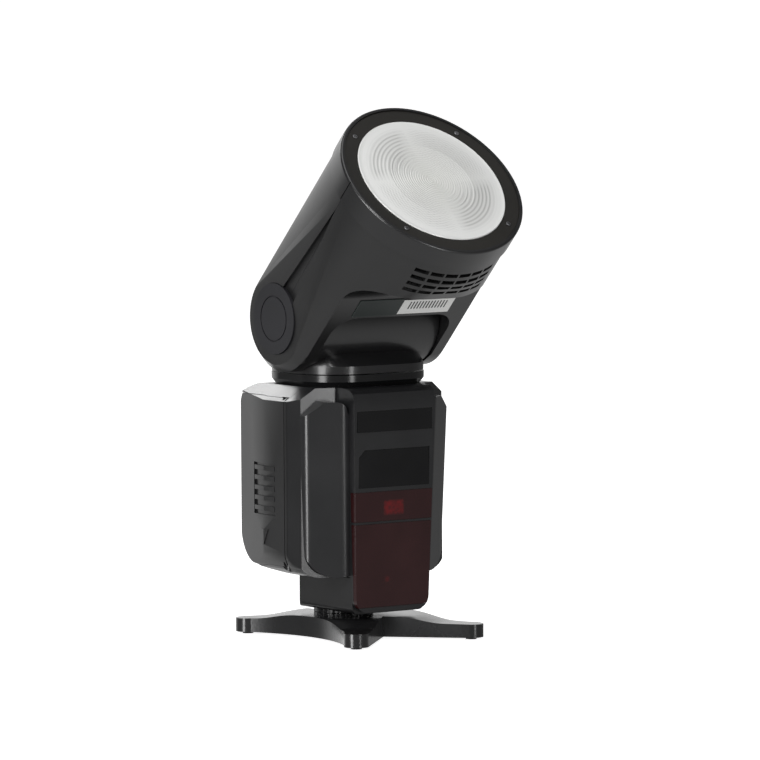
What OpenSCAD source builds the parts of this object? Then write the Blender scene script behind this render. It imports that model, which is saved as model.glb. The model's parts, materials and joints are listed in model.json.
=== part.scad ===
// Speedlight flash with a round tilting head, on a small four-legged shoe stand.
// Frame: +Z up, the flash faces -Y, origin on the floor under the shoe. Millimetres.
// Head pieces are drawn with the lens axis along +Z and the pivot at the origin,
// then placed by head_place().

/* [Head] */
// Angle of the lens axis above horizontal
head_tilt = 45; // [0:5:120]
// Outer radius of the front ring
ring_r = 38; // [37.8:0.1:39]
// Radius of the barrel just behind the front ring
barrel_r = 37.4; // [37:0.1:37.8]
// Distance from the pivot to the front ring's face
head_len = 76.6; // [76:0.2:80]
// Distance from the pivot to the seam behind the front ring
ring_seat = 67; // [66:0.5:68]
// Radius of the rounded tail about the pivot
tail_r = 20.8; // [20.8:0.1:21.5]
// Half width across the cheeks
cheek_x = 35.6; // [35.2:0.1:36]
// Radius of the lens
lens_r = 30.6; // [30:0.1:30.6]
// Thickness of the head's shells
head_wall = 2; // [1.6:0.1:2.2]
// Depth of the flat floor below the lens axis
scoop_floor = 21.3; // [21.2:0.1:22]
// Radius of the hollow that rises from the floor to the barrel
scoop_r = 13; // [12:0.5:14]

/* [Neck] */
// Height of the tilt axis
pivot_z = 124.4; // [124.3:0.1:126]
// Place of the tilt axis along Y
pivot_y = -7; // [-8:0.5:-6]
// Radius of the drum between the cheeks
drum_r = 20.3; // [19.5:0.1:20.4]
// Half width of the drum
drum_x = 27.2; // [26.5:0.1:27.2]
// Radius of the tilt axle
axle_r = 4; // [3:0.5:4]
// Place of the swivel axis along Y
swivel_y = -4; // [-5:0.5:-3]
// Radius of the swivel post
post_r = 8; // [7:0.5:8]

/* [Body] */
// Half width of the body
body_x = 35; // [34.5:0.1:35.5]
// Height of the body's roof
roof_z = 98; // [97.5:0.1:98.2]
// Height of the body's lowest edge
sill_z = 25; // [24.5:0.5:25]
// Place of the body's back along Y
back_y = 25; // [24.5:0.5:26]
// Place of the column's front face at the roof
column_y = -35.7; // [-36.5:0.1:-35]
// Half width of the front column at the roof
column_x = 19.1; // [18.5:0.1:19.5]
// Half width of the front column at its foot
column_foot_x = 17; // [16.5:0.1:17.5]
// Thickness of the body's walls
body_wall = 2.4; // [2:0.1:2.6]
// Place of the seam between the front and rear casings
seam_y = -13; // [-13.5:0.5:-13]
// Top of the fixed collar under the neck
collar_z = 102.7; // [102.5:0.1:102.8]

/* [Stand] */
// Width of the shoe's foot plate
shoe_w = 18.6; // [18.4:0.1:18.6]
// Length of the shoe's foot plate
shoe_l = 18; // [17.5:0.5:18]
// Thickness of the shoe's foot plate
shoe_t = 2; // [1.9:0.1:2]
// Radius of the stand's rounded tips
tip_r = 4.8; // [4.5:0.1:5]
// Height of the stand at its tips
leg_z = 6.2; // [6:0.1:6.6]
// Height of the stand's hub
hub_z = 8.7; // [8.6:0.1:8.8]
// Minor radius of the quarter inch tripod thread
thread_r = 2.55; // [2.5:0.05:2.6]

/* [Hidden] */

$fn = 72;
eps = 0.01;
big = 200;
gap = 0.1;

// Head, measured from the pivot along the lens axis
cone_len = 58;
tail_round = 3;
drum_gap_r = 21;
cheek_in_x = 27.6;
floor_start = 22.6;
scoop_end = 47;
recess_t = 1.3;
ring_gap = 0.4;
cap_r = 13.7;
cap_x = 36.6;
cap_sleeve_r = 7;
flange_top = head_len - 2.6;
bezel_r = 36.3;
bezel_t = 2;
rim_round = 0.9;
screw_ring_r = 33.5;
mouth_r = 9;
slot_pitch_x = 6.13;
slot_pitch_l = 3.66;
slot_w = 5.3;
slot_h = 1.9;
label_l = 23.8;
label_h = 9;
label_x = 22.3;

// Neck
neck_z = collar_z + 0.4;
neck_top_z = 111;

// Body
column_foot_z = 11.5;
column_foot_y = -33.3;
block_z = 10.8;
grip_face = -55;
grip_reach = 38.8;
grip_front_r = 5;
grip_side_r = 4;
grip_x = 34;
grip_y = -32.2;
grip_z = [27, 94.8];
grip_lean = 2.1;
grip_tuck = 1.6;
window_t = 1.3;
lamp_x = 3.9;
lamp_z = [48.6, 54.8];
sensor_x = -2.7;
sensor_z = 24;
sensor_r = 2;
side_r = 9;
heel_r = 15;
heel_rise = 17.6;
panel_y = back_y + 1.4;
panel_z = [38, 90];
dial_z = 47.5;
dial_r = 9.6;
dial_in_r = 6;
round_button_r = 3.4;
button_y = back_y + 0.7;
button_top_y = panel_y + 1;
key_x = [-16.5, -5.5, 5.5, 16.5];
key_z = 59.5;

// Door in the left side wall
door_y = [-11, 24];
door_z = [26.5, 94];
door_t = 1.7;
bend_y = 3;
bend_x = 31.6;
bend_end_y = 22.5;
door_slope = (body_x - bend_x) / (bend_end_y - bend_y);
door_angle = atan(door_slope);
hinge_x = -33.4;
hinge_y = -9.6;
hinge_r = 0.9;
flap_y = [-9.8, 2];
flap_z = [56, 80];
flap_t = 1.5;

// Shoe and stand
channel_z = 5;
lip_z = 7.35;
plate_z = channel_z + 0.2;
foot_post_r = 5;
lock_r = 11.5;
front_tip = [27, -47.5];
rear_tip = [30, 22];
waist_x = 22.5;
waist_y = -15;
waist_r = 62;
hub_y = -8;
hub_r = 22;
swell_r = 40;
front_notch_y = -27;
rear_notch_y = 14;
pad_h = 0.8;

// Points of an arc, for outlines
function arc(cx, cy, r, a0, a1, n = 8) =
  [for (i = [0 : n]) [cx + r * cos(a0 + (a1 - a0) * i / n), cy + r * sin(a0 + (a1 - a0) * i / n)]];

module head_place() translate([0, pivot_y, pivot_z]) rotate([head_tilt, 0, 0]) children();
module x_cylinder(r, x0, x1) translate([x0, 0, 0]) rotate([0, 90, 0]) cylinder(r = r, h = x1 - x0);
module y_cylinder(r, y0, y1) translate([0, y1, 0]) rotate([90, 0, 0]) cylinder(r = r, h = y1 - y0);
module box(x, y, z) translate([x[0], y[0], z[0]]) cube([x[1] - x[0], y[1] - y[0], z[1] - z[0]]);
// Extrudes an outline of [x, z] points along Y
module along_y(y0, y1) translate([0, y1, 0]) rotate([90, 0, 0]) linear_extrude(y1 - y0) children();
// Extrudes an outline of [y, z] points along X
module along_x(x0, x1) translate([x0, 0, 0]) rotate([90, 0, 90]) linear_extrude(x1 - x0) children();
module both_sides() {
  children();
  mirror([1, 0, 0]) children();
}

// ---------------------------------------------------------------- head

// Barrel that flattens towards the rounded tail, shrunk by g
module head_form(g) {
  front = ring_seat + (g > 0 ? 1 : 0);
  hull() {
    translate([0, 0, cone_len]) cylinder(r = barrel_r - g, h = front - cone_len, $fn = 96);
    x_cylinder(tail_r - g, -cheek_x + g + tail_round, cheek_x - g - tail_round);
    x_cylinder(tail_r - g - tail_round, -cheek_x + g, cheek_x - g);
  }
}

// Space under the flat floor and its rising hollow, grown by g
module scoop_space(g) {
  y0 = -scoop_floor + g;
  r = scoop_r + g;
  l0 = scoop_end - scoop_r;
  along_x(-big / 2, big / 2)
    polygon(concat(
      [[-big, -big / 2], [y0, -big / 2], [y0, l0]],
      [for (i = [1 : 8]) [y0 - r + r * cos(90 * i / 8), l0 + r * sin(90 * i / 8)]],
      [[-big, l0 + r]]));
}

module head_cavity() {
  difference() {
    head_form(head_wall);
    x_cylinder(drum_gap_r + head_wall, -big / 2, big / 2);
    box([-big / 2, big / 2], [-big / 2, 0], [-big / 2, floor_start + head_wall]);
    scoop_space(head_wall);
  }
}

module vent_slots() {
  for (row = [0 : 3])
    for (col = [0 : 5])
      translate([(col - 2.5) * slot_pitch_x, -ring_r, 57.5 + (row - 1.5) * slot_pitch_l])
        cube([slot_w, 16, slot_h], center = true);
}

// Opening in the floor for the neck, with rounded corners
module floor_mouth() {
  x = cheek_in_x - mouth_r;
  l = floor_start - mouth_r;
  along_y(-big / 2, -scoop_floor + head_wall + eps)
    polygon(concat(
      [[cheek_in_x, -big / 2]], arc(x, l, mouth_r, 0, 90),
      arc(-x, l, mouth_r, 90, 180), [[-cheek_in_x, -big / 2]]));
}

// Tapering recess along the seam on each side
module seam_recess() {
  difference() {
    both_sides()
      along_x(cheek_x - 3, cheek_x + 5) polygon([[-4.6, 13], [0, 62], [4.6, 13]]);
    head_form(recess_t);
  }
}

module head_shell() {
  difference() {
    head_form(0);
    head_cavity();
    x_cylinder(drum_gap_r, -cheek_in_x, cheek_in_x);
    box([-cheek_in_x, cheek_in_x], [-scoop_floor + head_wall, 0], [-big / 2, floor_start]);
    floor_mouth();
    scoop_space(0);
    x_cylinder(cap_sleeve_r + gap, -big / 2, big / 2);
    both_sides() x_cylinder(cap_r + 0.2, cheek_x - 0.5, big / 2);
    vent_slots();
    seam_recess();
  }
}

module head_upper_shell() {
  color("#1b1b1d") head_place() intersection() {
    head_shell();
    box([-big, big], [gap / 2, big], [-big, big]);
  }
}

module head_lower_shell() {
  color("#1b1b1d") head_place() intersection() {
    head_shell();
    box([-big, big], [-big, -gap / 2], [-big, big]);
  }
}

module front_ring() {
  color("#1b1b1d") head_place() difference() {
    rotate_extrude($fn = 120)
      polygon([
        [33.9, 62], [35.3, 62], [35.3, ring_seat + ring_gap], [ring_r, ring_seat + ring_gap],
        each arc(ring_r - rim_round, head_len - rim_round, rim_round, 0, 90, 6),
        [bezel_r + gap, head_len], [bezel_r + gap, flange_top], [29.5, flange_top],
        [29.5, flange_top - 1.2], [33.9, flange_top - 1.2]]);
    both_sides()
      box([ring_r - 0.6, ring_r + 1], [-0.2, 0.2], [ring_seat, head_len + 1]);
  }
}

module lens_bezel() {
  color("#15130f") head_place() difference() {
    translate([0, 0, flange_top + gap]) cylinder(r = bezel_r, h = bezel_t, $fn = 120);
    translate([0, 0, flange_top]) cylinder(r = lens_r + 0.25, h = 4, $fn = 120);
    for (i = [0 : 3])
      rotate([0, 0, 45 + 90 * i])
        translate([screw_ring_r, 0, flange_top]) cylinder(r = 0.7, h = 4, $fn = 24);
  }
}

module bezel_screws() {
  color("#8a8a8c") head_place()
    for (i = [0 : 3])
      rotate([0, 0, 45 + 90 * i])
        translate([screw_ring_r, 0, flange_top + gap + 0.2]) {
          cylinder(r = 0.6, h = bezel_t, $fn = 24);
          translate([0, 0, bezel_t - 0.18]) cylinder(r = 1.15, h = 0.28, $fn = 24);
        }
}

module fresnel_lens() {
  color("#dfe0da") head_place()
    translate([0, 0, flange_top + gap]) cylinder(r = lens_r, h = bezel_t + 0.2, $fn = 120);
}

module magnet_ring() {
  color("silver") head_place() rotate_extrude($fn = 96)
    translate([30, flange_top - 3.5]) square([3.7, 2.2]);
}

// Bowl that widens as the square root of the distance from its throat
function bowl_r(l, t) = sqrt((l - 42) * 27) + t;
module reflector() {
  color("#d8d8d8") head_place() rotate_extrude($fn = 96)
    polygon(concat(
      [for (i = [0 : 8]) [bowl_r(44 + i * 3.2, 0), 44 + i * 3.2]],
      [for (i = [8 : -1 : 0]) [bowl_r(44 + i * 3.2, 0.9), 44 + i * 3.2]]));
}

module flash_tube() {
  color("#e8ecef") head_place() {
    translate([0, 0, 56]) rotate_extrude($fn = 64) translate([11, 0]) circle(r = 2.2, $fn = 24);
  }
}

module modelling_lamp() {
  color("#f2e9a0") head_place() {
    translate([0, 0, 40.5]) cylinder(r = 7, h = 1.2);
    for (i = [0 : 2])
      rotate([0, 0, 120 * i]) translate([3.4, 0, 41.7 - eps]) cylinder(r = 1.8, h = 1.2, $fn = 24);
  }
}

module trigger_coil() {
  color("#7a4a22") head_place() {
    translate([0, 14, 33]) x_cylinder(4, -8, 8);
    translate([0, 14, 33]) both_sides() x_cylinder(5, 6, 8);
  }
}

// Disc over the tilt axle's end, with a sleeve that turns on it
module pivot_cap(side) {
  head_place() scale([side, 1, 1]) difference() {
    union() {
      x_cylinder(cap_r, cheek_x - 0.5 + gap, cap_x);
      x_cylinder(cap_sleeve_r, cheek_in_x + 0.2, cap_x - 0.5);
    }
    x_cylinder(axle_r + 0.06, 0, cap_x - 1.4);
    difference() {
      x_cylinder(8.9, cap_x - 0.4, cap_x + 1);
      x_cylinder(8.4, cap_x - 1, cap_x + 2);
    }
  }
}
module pivot_cap_left() color("#232325") pivot_cap(-1);
module pivot_cap_right() color("#232325") pivot_cap(1);

module rating_plate() {
  color("#20302c") head_place()
    box([-label_x, -2], [-scoop_floor - 0.35, -scoop_floor], [label_l, label_l + label_h]);
}
module blank_sticker() {
  color("#e9e9e6") head_place()
    box([-2 + gap, label_x], [-scoop_floor - 0.35, -scoop_floor], [label_l + 0.4, label_l + label_h - 0.4]);
}

// ---------------------------------------------------------------- neck

module rounded_slab(x, y0, y1, r, z0, z1) {
  hull()
    for (sx = [-1, 1])
      for (y = [y0 + r, y1 - r])
        translate([sx * (x - r), y, z0]) cylinder(r = r, h = z1 - z0, $fn = 32);
}

module neck_housing() {
  color("#202022") difference() {
    union() {
      translate([0, pivot_y, pivot_z]) x_cylinder(drum_r, -drum_x, drum_x);
      hull() {
        rounded_slab(27, -28.3, 20.5, 17, neck_z, neck_z + 3);
        rounded_slab(24, -21.5, 11, 8, neck_top_z - 1, neck_top_z);
      }
    }
    translate([0, pivot_y, pivot_z]) x_cylinder(drum_r - 2.6, -drum_x + 2.4, drum_x - 2.4);
    translate([0, pivot_y, pivot_z]) x_cylinder(axle_r + 0.05, -big / 2, big / 2);
    translate([0, swivel_y, neck_z - 1]) cylinder(r = post_r + 0.05, h = 4.5);
    translate([0, swivel_y, neck_z]) cylinder(r = 5, h = 12);
  }
}

module tilt_axle() {
  color("silver") translate([0, pivot_y, pivot_z]) x_cylinder(axle_r, -cap_x + 1.6, cap_x - 1.6);
}

module detent_wheel() {
  color("#b0a060") translate([0, pivot_y, pivot_z]) difference() {
    x_cylinder(12, 16, 18.5);
    x_cylinder(axle_r + 0.05, 10, 30);
    for (i = [0 : 23])
      rotate([15 * i, 0, 0]) translate([0, 12.4, 0]) x_cylinder(1, 10, 30, $fn = 16);
  }
}

module detent_spring() {
  color("silver") translate([0, pivot_y, pivot_z]) {
    box([15.5, 19], [-6, 6], [-14.2, -13.6]);
    translate([0, 0, -13.4]) x_cylinder(0.7, 15.5, 19, $fn = 24);
  }
}

module swivel_post() {
  color("#2a2a2c") translate([0, swivel_y, 0]) difference() {
    translate([0, 0, roof_z - 7]) cylinder(r = post_r, h = neck_z + 3.4 - (roof_z - 7));
    translate([0, 0, roof_z - 10]) cylinder(r = 5, h = 30);
  }
}

module swivel_retainer() {
  color("silver") translate([0, swivel_y, roof_z - body_wall - 2.2]) difference() {
    cylinder(r = 13, h = 2);
    translate([0, 0, -1]) cylinder(r = post_r + 0.05, h = 4);
  }
}

// ---------------------------------------------------------------- body

// Side outline of the body from the seam to the back, shrunk by g
function rear_outline(g) = concat(
  [[seam_y - 20, sill_z + g], [-8, sill_z + g]],
  arc(back_y - heel_r, sill_z + heel_rise, heel_r - g, -80, 0),
  arc(back_y - 10, roof_z - 10, 10 - g, 0, 90),
  [[seam_y - 20, roof_z - g]]);

// Front outline of the body with its sloping shoulders, shrunk by g
function shoulder_outline(g) = concat(
  arc(-body_x + side_r, sill_z + side_r, side_r - g, 180, 270),
  arc(body_x - side_r, sill_z + side_r, side_r - g, 270, 360),
  [[body_x - g, 92.6 - g],
  [27.5, roof_z - g], [-27.5, roof_z - g], [-body_x + g, 92.6 - g]]);

module core_plan() {
  polygon([
    [-20, -24], [20, -24], [33.2, -20], [body_x, -12.5], [body_x, bend_y],
    [bend_x, bend_end_y], [29.4, back_y], [-29.4, back_y], [-bend_x, bend_end_y],
    [-body_x, bend_y], [-body_x, -12.5], [-33.2, -20]]);
}

module core() {
  intersection() {
    translate([0, 0, sill_z]) linear_extrude(roof_z - sill_z) core_plan();
    along_y(-40, 40) polygon(shoulder_outline(0));
    along_x(-40, 40) polygon(rear_outline(0));
  }
}

// Grip on each front corner: a slanted face between two rounded edges
module corner_grip() {
  front_x = (grip_reach - grip_front_r - sin(grip_face) * (grip_y + grip_front_r)) / cos(grip_face);
  side_y = (grip_reach - grip_side_r - cos(grip_face) * (grip_x - grip_side_r)) / sin(grip_face);
  translate([0, 0, grip_z[1]]) rotate([grip_lean, grip_tuck, 0]) translate([0, 0, -grip_z[1]])
  intersection() {
    linear_extrude(roof_z)
      polygon(concat(
        [[14, -16], [14, grip_y]],
        arc(front_x, grip_y + grip_front_r, grip_front_r, -90, grip_face, 6),
        arc(grip_x - grip_side_r, side_y, grip_side_r, grip_face, 0, 6),
        [[grip_x, -16]]));
    along_y(-40, 0)
      polygon(concat(
        [[14, 84]], arc(24.2, grip_z[1] - 4.5, 4.5, 180, 90),
        [[27.2, grip_z[1]], [33.6, 89.4], [grip_x, 88]],
        arc(grip_x - 10, grip_z[0] + 10, 10, 0, -90), [[14, grip_z[0] + 1]]));
  }
}

// Front column, shrunk by g on its front and sides
module column(g) {
  intersection() {
    along_y(-40, -12)
      polygon(concat(
        [[column_x - g, roof_z]],
        arc(column_foot_x - 5, column_foot_z + 5, 5 - g, 0, -90, 6),
        arc(-column_foot_x + 5, column_foot_z + 5, 5 - g, -90, -180, 6),
        [[-column_x + g, roof_z]]));
    along_x(-30, 30)
      polygon([
        [column_foot_y + g, column_foot_z], [column_y + g, 93.5], [column_y + 1 + g, 96],
        [column_y + 3.4 + g, 97.6], [-28, roof_z], [seam_y, roof_z],
        [seam_y, sill_z + 3], [-30.5, sill_z], [-30.5, column_foot_z]]);
  }
}

// Space inside both casings
module body_cavity() {
  intersection() {
    translate([0, 0, sill_z + body_wall])
      linear_extrude(roof_z - sill_z - 2 * body_wall)
        polygon([
          [-16, -31], [16, -31], [17.5, -22], [31.5, -17.9], [32.4, -12.5],
          [32.4, bend_y], [bend_x - 2.6, back_y - body_wall], [-bend_x + 2.6, back_y - body_wall],
          [-32.4, bend_y], [-32.4, -12.5], [-31.5, -17.9], [-17.5, -22]]);
    along_y(-40, 40) polygon(shoulder_outline(body_wall));
    along_x(-40, 40) polygon(rear_outline(body_wall));
  }
}

// Plan of the door, with its outer face drawn in by g
module door_plan(g = 0) {
  end_x = -body_x + door_slope * (door_y[1] - bend_y);
  polygon([
    [-body_x - 5 * (g > 0 ? 1 : 0), door_y[0] - g], [-body_x - 5 * (g > 0 ? 1 : 0), bend_y],
    [end_x - 5 * (g > 0 ? 1 : 0), door_y[1] + g], [end_x + door_t + g, door_y[1] + g],
    [-body_x + door_t + g, bend_y], [-body_x + door_t + g, door_y[0] - g]]);
}

module casing() {
  difference() {
    union() {
      core();
      both_sides() corner_grip();
      column(0);
    }
    body_cavity();
    // door pocket, open below so that the door can slide down
    translate([0, 0, -10]) linear_extrude(door_z[1] + 0.2 + 10) door_plan(0.2);
    translate([hinge_x, hinge_y, -10]) cylinder(r = 2.4, h = door_z[1] + 0.2 + 10);
    // battery bay behind the door
    box([-36, -20], [-6.5, 19], [33, 89.5]);
    // socket opening behind the port cover
    box([body_x - flap_t - 0.1, body_x + 5], [flap_y[0] - 0.1, flap_y[1] + 0.1], [flap_z[0] - 0.1, flap_z[1] + 0.1]);
    box([28, body_x + 5], [flap_y[0] + 1.5, flap_y[1] - 1.5], [flap_z[0] + 1.5, flap_z[1] - 1.5]);
    // swivel post
    translate([0, swivel_y, 80]) cylinder(r = post_r + 0.3, h = 30);
    // windows in the column
    window_space(46.5, 58.1);
    window_space(column_foot_z + 1.8, 45.7);
    // seats of the focus lamp and the sensor
    box([-lamp_x - gap, lamp_x + gap], [-40, -30], [lamp_z[0] - gap, lamp_z[1] + gap]);
    translate([sensor_x, 0, sensor_z]) y_cylinder(sensor_r + gap, -40, -30, $fn = 32);
    // recess behind the front window
    along_y(-40, column_y + 1.3) polygon(front_window_outline(0.05));
    // name plate recess
    box([-17.6, 17.6], [-40, column_y + 0.65], [81.2, 89.3]);
    // rear screws
    for (x = [-26, 26])
      for (z = [46, 85])
        translate([x, 0, z]) y_cylinder(0.9, 15, 40, $fn = 24);
  }
}

// Front of the column between two heights
module window_space(z0, z1) {
  difference() {
    intersection() {
      column(-0.05);
      box([-25, 25], [-40, -31.4], [z0, z1]);
    }
    column(window_t);
  }
}

module red_window(z0, z1) {
  intersection() {
    difference() {
      column(0);
      column(window_t - gap);
    }
    box([-25, 25], [-40, -31.5], [z0 + gap, z1 - gap]);
  }
}

module front_casing() {
  color("#1c1c1e") intersection() {
    casing();
    box([-big, big], [-big, seam_y - gap / 2], [-big, big]);
  }
}

module rear_casing() {
  color("#1c1c1e") intersection() {
    casing();
    box([-big, big], [seam_y + gap / 2, big], [-big, big]);
  }
}

module foot_block() {
  color("#1c1c1e") difference() {
    along_y(-30.4, 8)
      polygon(concat(
        [[-column_foot_x + 0.2, sill_z + 3], [column_foot_x - 0.2, sill_z + 3]],
        arc(column_foot_x - 2.7, block_z + 2.5, 2.5, 0, -90, 4),
        arc(-column_foot_x + 2.7, block_z + 2.5, 2.5, -90, -180, 4)));
    along_x(-30, 30) polygon(rear_outline(-gap));
    translate([0, 0, block_z - 1]) cylinder(r = foot_post_r + 0.05, h = 6);
    translate([0, 0, block_z - 1]) cylinder(r = lock_r + 0.4, h = 1.6);
    for (x = [-1, 1])
      translate([x * (column_foot_x - 0.2), 8, 0])
        rotate([0, 0, 45]) translate([0, 0, 15]) cube([3.4, 3.4, 30], center = true);
  }
}

module swivel_collar() {
  color("#29292b") difference() {
    hull() {
      rounded_slab(25.4, -27, 19.1, 15.5, roof_z + gap / 2, roof_z + 1);
      rounded_slab(27, -28.6, 20.7, 17, collar_z - 2.6, collar_z);
    }
    translate([0, swivel_y, roof_z - 1]) cylinder(r = post_r + 0.05, h = 10);
  }
}

module name_plate() {
  color("#242426") box([-17.5, 17.5], [column_y + 0.05, column_y + 0.6], [81.3, 89.2]);
}

function front_window_outline(g) = [
  [-16.5 - g, 59.7 - g], [16.5 + g, 59.7 - g], [16.5 + g, 74.3 + g],
  [-13.8 - g, 74.3 + g], [-16.5 - g, 71.6 + g]];
module front_window() {
  color("#19191b") along_y(column_y + 0.9, column_y + 1.25) polygon(front_window_outline(0));
}

module red_window_upper() color("#47272b") red_window(46.5, 58.1);
module red_window_lower() color("#422529") red_window(column_foot_z + 1.8, 45.7);

module focus_lamp() {
  color("#c01818") {
    box([-lamp_x, lamp_x], [-32.7, -30.4], lamp_z);
    for (x = [-1.9, 1.9])
      translate([x, 0, (lamp_z[0] + lamp_z[1]) / 2]) y_cylinder(1.5, -33, -32.7 + eps, $fn = 24);
  }
}

module infrared_sensor() {
  color("#301016") translate([sensor_x, 0, sensor_z]) y_cylinder(sensor_r, -32.2, -30.4, $fn = 24);
}

module main_board() {
  color("#1f5a34") box([-15, 22], [-19.5, -17.9], [30, 90]);
}

module main_capacitor() {
  color("#2c3c78") {
    translate([15.4, 11.2, 39]) cylinder(r = 10.6, h = 46);
  }
}

module battery_pack() {
  color("#3a3a3e") box([-29.8, -3], [-6, 18.5], [33.5, 86]);
}

module battery_contacts() {
  color("#c9a94a")
    for (y = [0, 5, 10])
      box([-20, -14], [y, y + 2.4], [86.1, 89.3]);
}

module case_screws() {
  color("#6d6d70")
    for (x = [-26, 26])
      for (z = [46, 85])
        translate([x, 0, z]) {
          y_cylinder(0.8, 19.4, back_y + eps, $fn = 24);
          y_cylinder(1.7, back_y, back_y + 1, $fn = 24);
        }
}

module socket_block() {
  color("#101010") difference() {
    box([23, 32.2], [flap_y[0] + 1.8, flap_y[1] - 1.8], [flap_z[0] + 1.8, flap_z[1] - 1.8]);
    translate([0, -3.9, 74]) x_cylinder(1.8, 26, 40, $fn = 32);
    box([26, 40], [-5.4, -2.4], [61, 69]);
  }
}

module control_panel() {
  color("#161618") difference() {
    along_y(back_y + eps, panel_y)
      polygon(concat(
        arc(21, panel_z[1] - 3, 3, 0, 90, 5), arc(-21, panel_z[1] - 3, 3, 90, 180, 5),
        arc(-21, panel_z[0] + 3, 3, 180, 270, 5), arc(21, panel_z[0] + 3, 3, 270, 360, 5)));
    for (x = key_x)
      box([x - 4.3, x + 4.3], [0, 40], [key_z - 2.1, key_z + 2.1]);
    for (p = [[-18.5, 52], [18.5, 52], [18.5, 43]])
      translate([p[0], 0, p[1]]) y_cylinder(round_button_r + 0.3, 0, 40, $fn = 48);
    translate([0, 0, dial_z]) y_cylinder(5.5, 0, 40, $fn = 48);
    box([-22.5, -14.5], [0, 40], [40.7, 44.3]);
  }
}

module display_bezel() {
  color("#101012") difference() {
    box([-22.5, 22.5], [panel_y + eps, panel_y + 0.9], [63.5, 88.5]);
    box([-19.6, 19.6], [0, 40], [66, 86.5]);
  }
}

module display_screen() {
  color("#8fa08a") box([-19.4, 19.4], [panel_y + 0.05, panel_y + 0.5], [66.2, 86.3]);
}

module function_button(i) {
  color("#3b3b3f") box([key_x[i] - 4, key_x[i] + 4], [button_y, button_top_y], [key_z - 1.8, key_z + 1.8]);
}
module function_button_1() function_button(0);
module function_button_2() function_button(1);
module function_button_3() function_button(2);
module function_button_4() function_button(3);

module round_button(x, z) {
  color("#3b3b3f") translate([x, 0, z]) y_cylinder(round_button_r, button_y, button_top_y, $fn = 48);
}
module mode_button() round_button(-18.5, 52);
module menu_button() round_button(18.5, 52);
module test_button() round_button(18.5, 43);
module set_button() {
  color("#3b3b3f") translate([0, 0, dial_z]) y_cylinder(5.2, button_y, panel_y + 2.4, $fn = 48);
}

module control_dial() {
  color("#26262a") translate([0, 0, dial_z]) difference() {
    y_cylinder(dial_r, panel_y + 0.1, panel_y + 2.2);
    y_cylinder(dial_in_r, 0, 40);
    for (i = [0 : 35])
      rotate([0, 10 * i, 0]) translate([dial_r + 0.25, 0, 0]) y_cylinder(0.6, 0, 40, $fn = 12);
  }
}

module power_switch() {
  color("#3b3b3f") {
    box([-22.2, -18.4], [button_y, panel_y], [41, 44]);
    box([-21.4, -19.2], [panel_y - eps, panel_y + 1], [41.3, 43.7]);
  }
}

// Shallow thumb recess across the bend in the door's face
module thumb_cut() {
  box([-body_x - 1, -body_x + 0.8], [-4.7, bend_y + 0.05], [48, 68]);
  translate([-body_x, bend_y, 0]) rotate([0, 0, -door_angle])
    box([-1, 0.8], [-0.05, 9], [48, 68]);
}

module thumb_ribs() {
  for (i = [0 : 4]) {
    z = 49.6 + i * 3.9;
    box([-body_x + 0.05, -body_x + 1], [-4.3, bend_y], [z, z + 1.7]);
    translate([-body_x, bend_y, 0]) rotate([0, 0, -door_angle])
      box([0.05, 1], [-0.1, 8.6], [z, z + 1.7]);
  }
}

// Door that covers the battery, with a ribbed thumb grip and a raised arrow
module battery_door() {
  color("#1c1c1e") difference() {
    union() {
      difference() {
        intersection() {
          translate([0, 0, door_z[0]]) linear_extrude(door_z[1] - door_z[0]) door_plan();
          along_x(-40, 0) polygon(rear_outline(0.6));
          along_y(-40, 40) polygon(shoulder_outline(0));
        }
        thumb_cut();
      }
      thumb_ribs();
      along_x(-body_x - 0.25, -body_x + 0.6)
        polygon([[bend_y, 36.5], [bend_y, 42.5], [bend_y - 3, 42.5]]);
      translate([-body_x, bend_y, 0]) rotate([0, 0, -door_angle])
        along_x(-0.25, 0.6) polygon([[-0.05, 36.5], [3, 42.5], [-0.05, 42.5]]);
      // knuckle on the hinge pin
      translate([hinge_x, hinge_y, 35]) cylinder(r = 1.6, h = 53, $fn = 32);
    }
    translate([hinge_x, hinge_y, 20]) cylinder(r = hinge_r + 0.05, h = 80, $fn = 32);
  }
}

module door_hinge_pin() {
  color("silver") translate([hinge_x, hinge_y, 34]) cylinder(r = hinge_r, h = 57, $fn = 32);
}

module port_cover() {
  r = flap_t / 2;
  color("#141414") {
    box([body_x - flap_t, body_x], [flap_y[0] + r, flap_y[1]], flap_z);
    translate([body_x - r, flap_y[0] + r, flap_z[0]]) cylinder(r = r, h = flap_z[1] - flap_z[0], $fn = 32);
  }
}

// ---------------------------------------------------------------- shoe and stand

module shoe_foot() {
  color("#77797c") {
    box([-shoe_w / 2, shoe_w / 2], [-shoe_l / 2, shoe_l / 2], [plate_z, plate_z + shoe_t]);
    translate([0, 0, plate_z + shoe_t - eps]) cylinder(r = foot_post_r, h = block_z + 4 - plate_z - shoe_t);
  }
}

module contact_pins() {
  color("#c9a94a")
    for (p = [[0, 0], [-4, 3.5], [0, 5.5], [4, 3.5], [4, -3.5]])
      translate([p[0], p[1], plate_z - 0.15]) cylinder(r = 0.9, h = 0.15 - eps / 2, $fn = 24);
}

module lock_ring() {
  color("#2b2b2d") difference() {
    translate([0, 0, hub_z + 0.15]) cylinder(r = lock_r, h = 2);
    cylinder(r = foot_post_r + 0.08, h = 20);
    for (i = [0 : 29])
      rotate([0, 0, 12 * i]) translate([lock_r + 0.2, 0, 0]) cylinder(r = 0.6, h = 20, $fn = 12);
  }
}

// Where a line from a notch's apex touches a tip's circle, turning left (1) or right (-1)
function touch(apex, tip, side) =
  let (d = tip - apex, a = atan2(d[1], d[0]) + side * asin(tip_r / norm(d)), l = sqrt(d * d - tip_r * tip_r))
  apex + l * [cos(a), sin(a)];

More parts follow.
